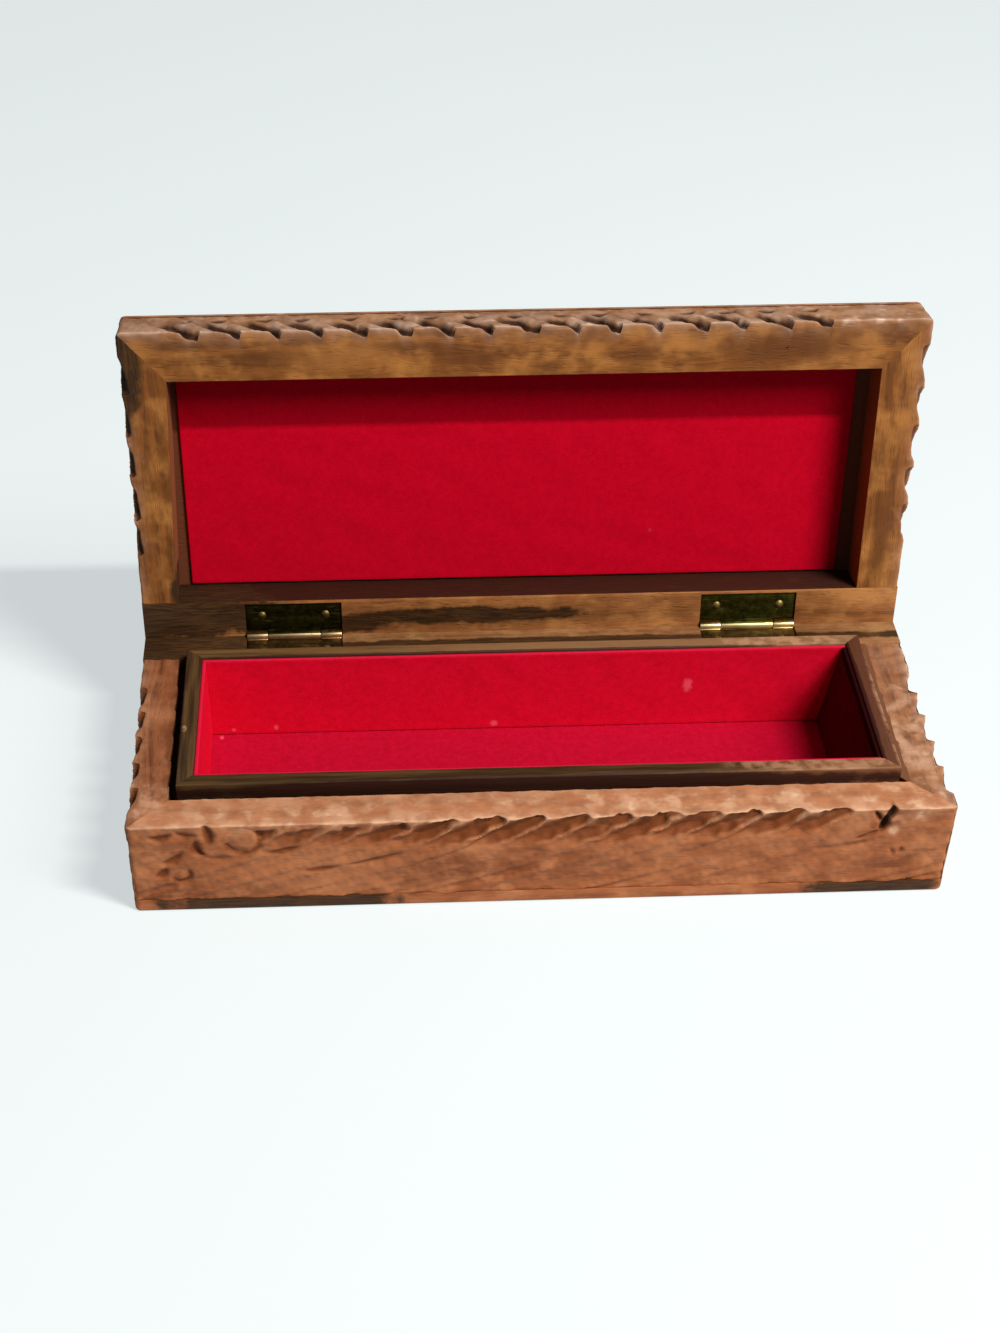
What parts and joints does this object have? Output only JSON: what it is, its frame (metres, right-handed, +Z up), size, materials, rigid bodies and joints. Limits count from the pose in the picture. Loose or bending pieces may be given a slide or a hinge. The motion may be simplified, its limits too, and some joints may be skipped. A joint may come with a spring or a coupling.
{
  "type": "carved wooden trinket box",
  "caption": "Long narrow carved wooden trinket box: leaf border along both rims, butt-hinged lid standing open on its bevel stop, locating lip and red felt lining.",
  "frame": {"origin": "middle of the underside of the base", "axes": "+X along the front to the right, +Y from the front to the hinged back, +Z up"},
  "size_m": [0.203, 0.1066, 0.1072],
  "materials": {
    "carved_wood": "oiled hardwood with dark heartwood streaks and worn arrises",
    "liner_wood": "thin oiled strips, darker than the carved boards",
    "red_felt": "matt crimson felt",
    "hinge_brass": "polished brass with a darkened film"
  },
  "bodies": {
    "base": {"base_front_board": "carved_wood", "base_left_board": "carved_wood", "base_right_board": "carved_wood", "base_back_board": "carved_wood", "base_bottom_board": "carved_wood", "liner_front_strip": "liner_wood", "liner_back_strip": "liner_wood", "liner_left_strip": "liner_wood", "liner_right_strip": "liner_wood", "floor_felt": "red_felt", "front_wall_felt": "red_felt", "back_wall_felt": "red_felt", "left_wall_felt": "red_felt", "right_wall_felt": "red_felt", "left_hinge_base_leaf": "hinge_brass", "left_hinge_pin": "hinge_brass", "right_hinge_base_leaf": "hinge_brass", "right_hinge_pin": "hinge_brass", "base_hinge_nails": "hinge_brass"},
    "lid": {"lid_front_rail": "carved_wood", "lid_left_stile": "carved_wood", "lid_right_stile": "carved_wood", "lid_back_rail": "carved_wood", "lid_top_panel": "carved_wood", "lid_ceiling_felt": "red_felt", "left_hinge_lid_leaf": "hinge_brass", "right_hinge_lid_leaf": "hinge_brass", "lid_hinge_nails": "hinge_brass"}
  },
  "joints": [
    {"name": "lid_hinge", "type": "hinge", "parent": "base", "child": "lid", "pos_m": [0, 0.0394, 0.02658], "axis": [-1, 0, 0], "range_deg": [-98, 0]}
  ]
}
